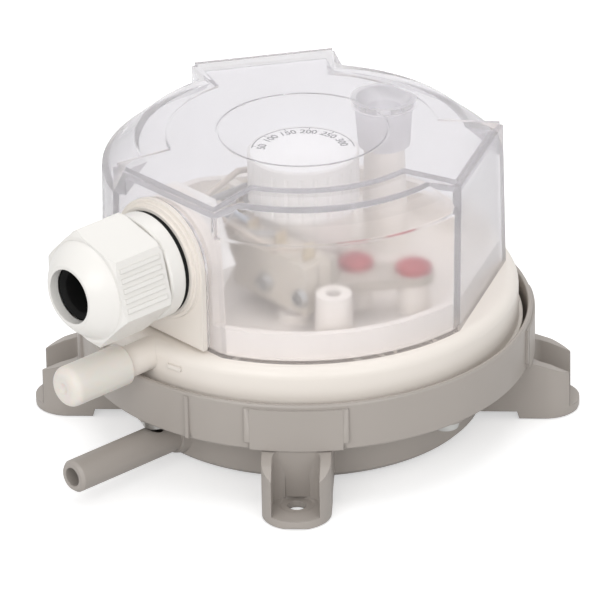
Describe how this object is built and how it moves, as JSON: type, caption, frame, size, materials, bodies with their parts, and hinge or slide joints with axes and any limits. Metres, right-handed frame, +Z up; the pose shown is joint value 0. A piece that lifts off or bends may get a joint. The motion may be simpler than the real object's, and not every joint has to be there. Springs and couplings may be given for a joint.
{
  "type": "differential pressure switch",
  "caption": "Round diaphragm pressure switch with slotted fixing ears, side hose ports, an angled cable gland and a clear cap over a setting dial.",
  "frame": {"origin": "centre of the ear holes' circle in the base plane", "axes": "+Z up from the base through the setting dial, -Y the way the cable gland and hose ports point"},
  "size_m": [0.085, 0.1024, 0.0566],
  "materials": {
    "housing_grey": "fine satin moulding",
    "housing_white": "fine satin moulding",
    "clear_plastic": "clear, polished",
    "screw_steel": "zinc plated",
    "knob_white": "satin",
    "scale_print": "printed",
    "turned_steel": "turned",
    "seat_brass": "turned",
    "spring_steel": "drawn wire",
    "black_rubber": "moulded",
    "plate_metal": "pressed",
    "rod_white": "smooth",
    "carrier_cream": "satin",
    "red_lacquer": "glossy",
    "switch_brown": "satin",
    "button_red": "smooth",
    "contact_brass": "stamped",
    "lead_blue": "extruded",
    "lead_black": "extruded",
    "lead_brown": "extruded",
    "gland_white": "satin",
    "soft_cap": "milky, soft"
  },
  "bodies": {
    "housing": {"lower_housing": "housing_grey", "upper_housing": "housing_white", "setting_spring": "spring_steel", "diaphragm": "black_rubber", "switch_carrier": "carrier_cream", "carrier_screws": "screw_steel", "seal_lacquer": "red_lacquer", "switch_body": "switch_brown", "switch_screws": "screw_steel", "switch_tabs": "contact_brass", "terminal_block": "carrier_cream", "terminal_common": "contact_brass", "terminal_closed": "contact_brass", "terminal_open": "contact_brass", "terminal_screws": "screw_steel", "lead_common": "lead_blue", "lead_closed": "lead_black", "lead_open": "lead_brown", "gland_body": "gland_white", "gland_washer": "black_rubber", "gland_locknut": "gland_white", "housing_screws": "screw_steel"},
    "cover": {"clear_cover": "clear_plastic"},
    "captive_screw": {"cover_screw": "screw_steel"},
    "knob": {"setting_knob": "knob_white", "scale_disc": "scale_print", "setting_spindle": "turned_steel"},
    "seat": {"spring_seat": "seat_brass"},
    "plate": {"diaphragm_plate": "plate_metal", "push_rod": "rod_white"},
    "button": {"switch_button": "button_red"},
    "seal": {"gland_seal": "black_rubber"},
    "nut": {"gland_nut": "gland_white"},
    "cap": {"port_cap": "soft_cap"}
  },
  "joints": [
    {"name": "cover_lift", "type": "slide", "parent": "housing", "child": "cover", "axis": [0, 0, 1], "range_m": [0, 0.04]},
    {"name": "cover_screw_turn", "type": "hinge", "parent": "cover", "child": "captive_screw", "pos_m": [0, 0.0205, 0.0476], "axis": [0, 0, 1], "range_deg": [0, 1800]},
    {"name": "setting_turn", "type": "hinge", "parent": "housing", "child": "knob", "pos_m": [0, 0, 0.044], "axis": [0, 0, 1], "range_deg": [0, 270]},
    {"name": "seat_travel", "type": "slide", "parent": "housing", "child": "seat", "axis": [0, 0, -1], "range_m": [0, 0.0045], "deforming": ["setting_spring"]},
    {"name": "plate_travel", "type": "slide", "parent": "housing", "child": "plate", "axis": [0, 0, 1], "range_m": [0, 0.0006], "stiffness_N_per_m": 1000, "springref_m": -0.0005},
    {"name": "button_travel", "type": "slide", "parent": "housing", "child": "button", "axis": [0, 0, 1], "range_m": [0, 0.00065]},
    {"name": "seal_travel", "type": "slide", "parent": "housing", "child": "seal", "axis": [0, -1, 0], "range_m": [0, 0.0045]},
    {"name": "nut_turn", "type": "hinge", "parent": "seal", "child": "nut", "pos_m": [0, -0.048, 0.0421], "axis": [0, -1, 0], "range_deg": [0, 1080]},
    {"name": "cap_pull", "type": "slide", "parent": "housing", "child": "cap", "axis": [0, -1, 0], "range_m": [0, 0.014]}
  ],
  "couplings": [
    {"joint": "setting_turn", "follows": "seat_travel", "rad_per_m": 1047.2},
    {"joint": "button_travel", "follows": "plate_travel", "ratio": 1},
    {"joint": "nut_turn", "follows": "seal_travel", "rad_per_m": 4188.8}
  ]
}
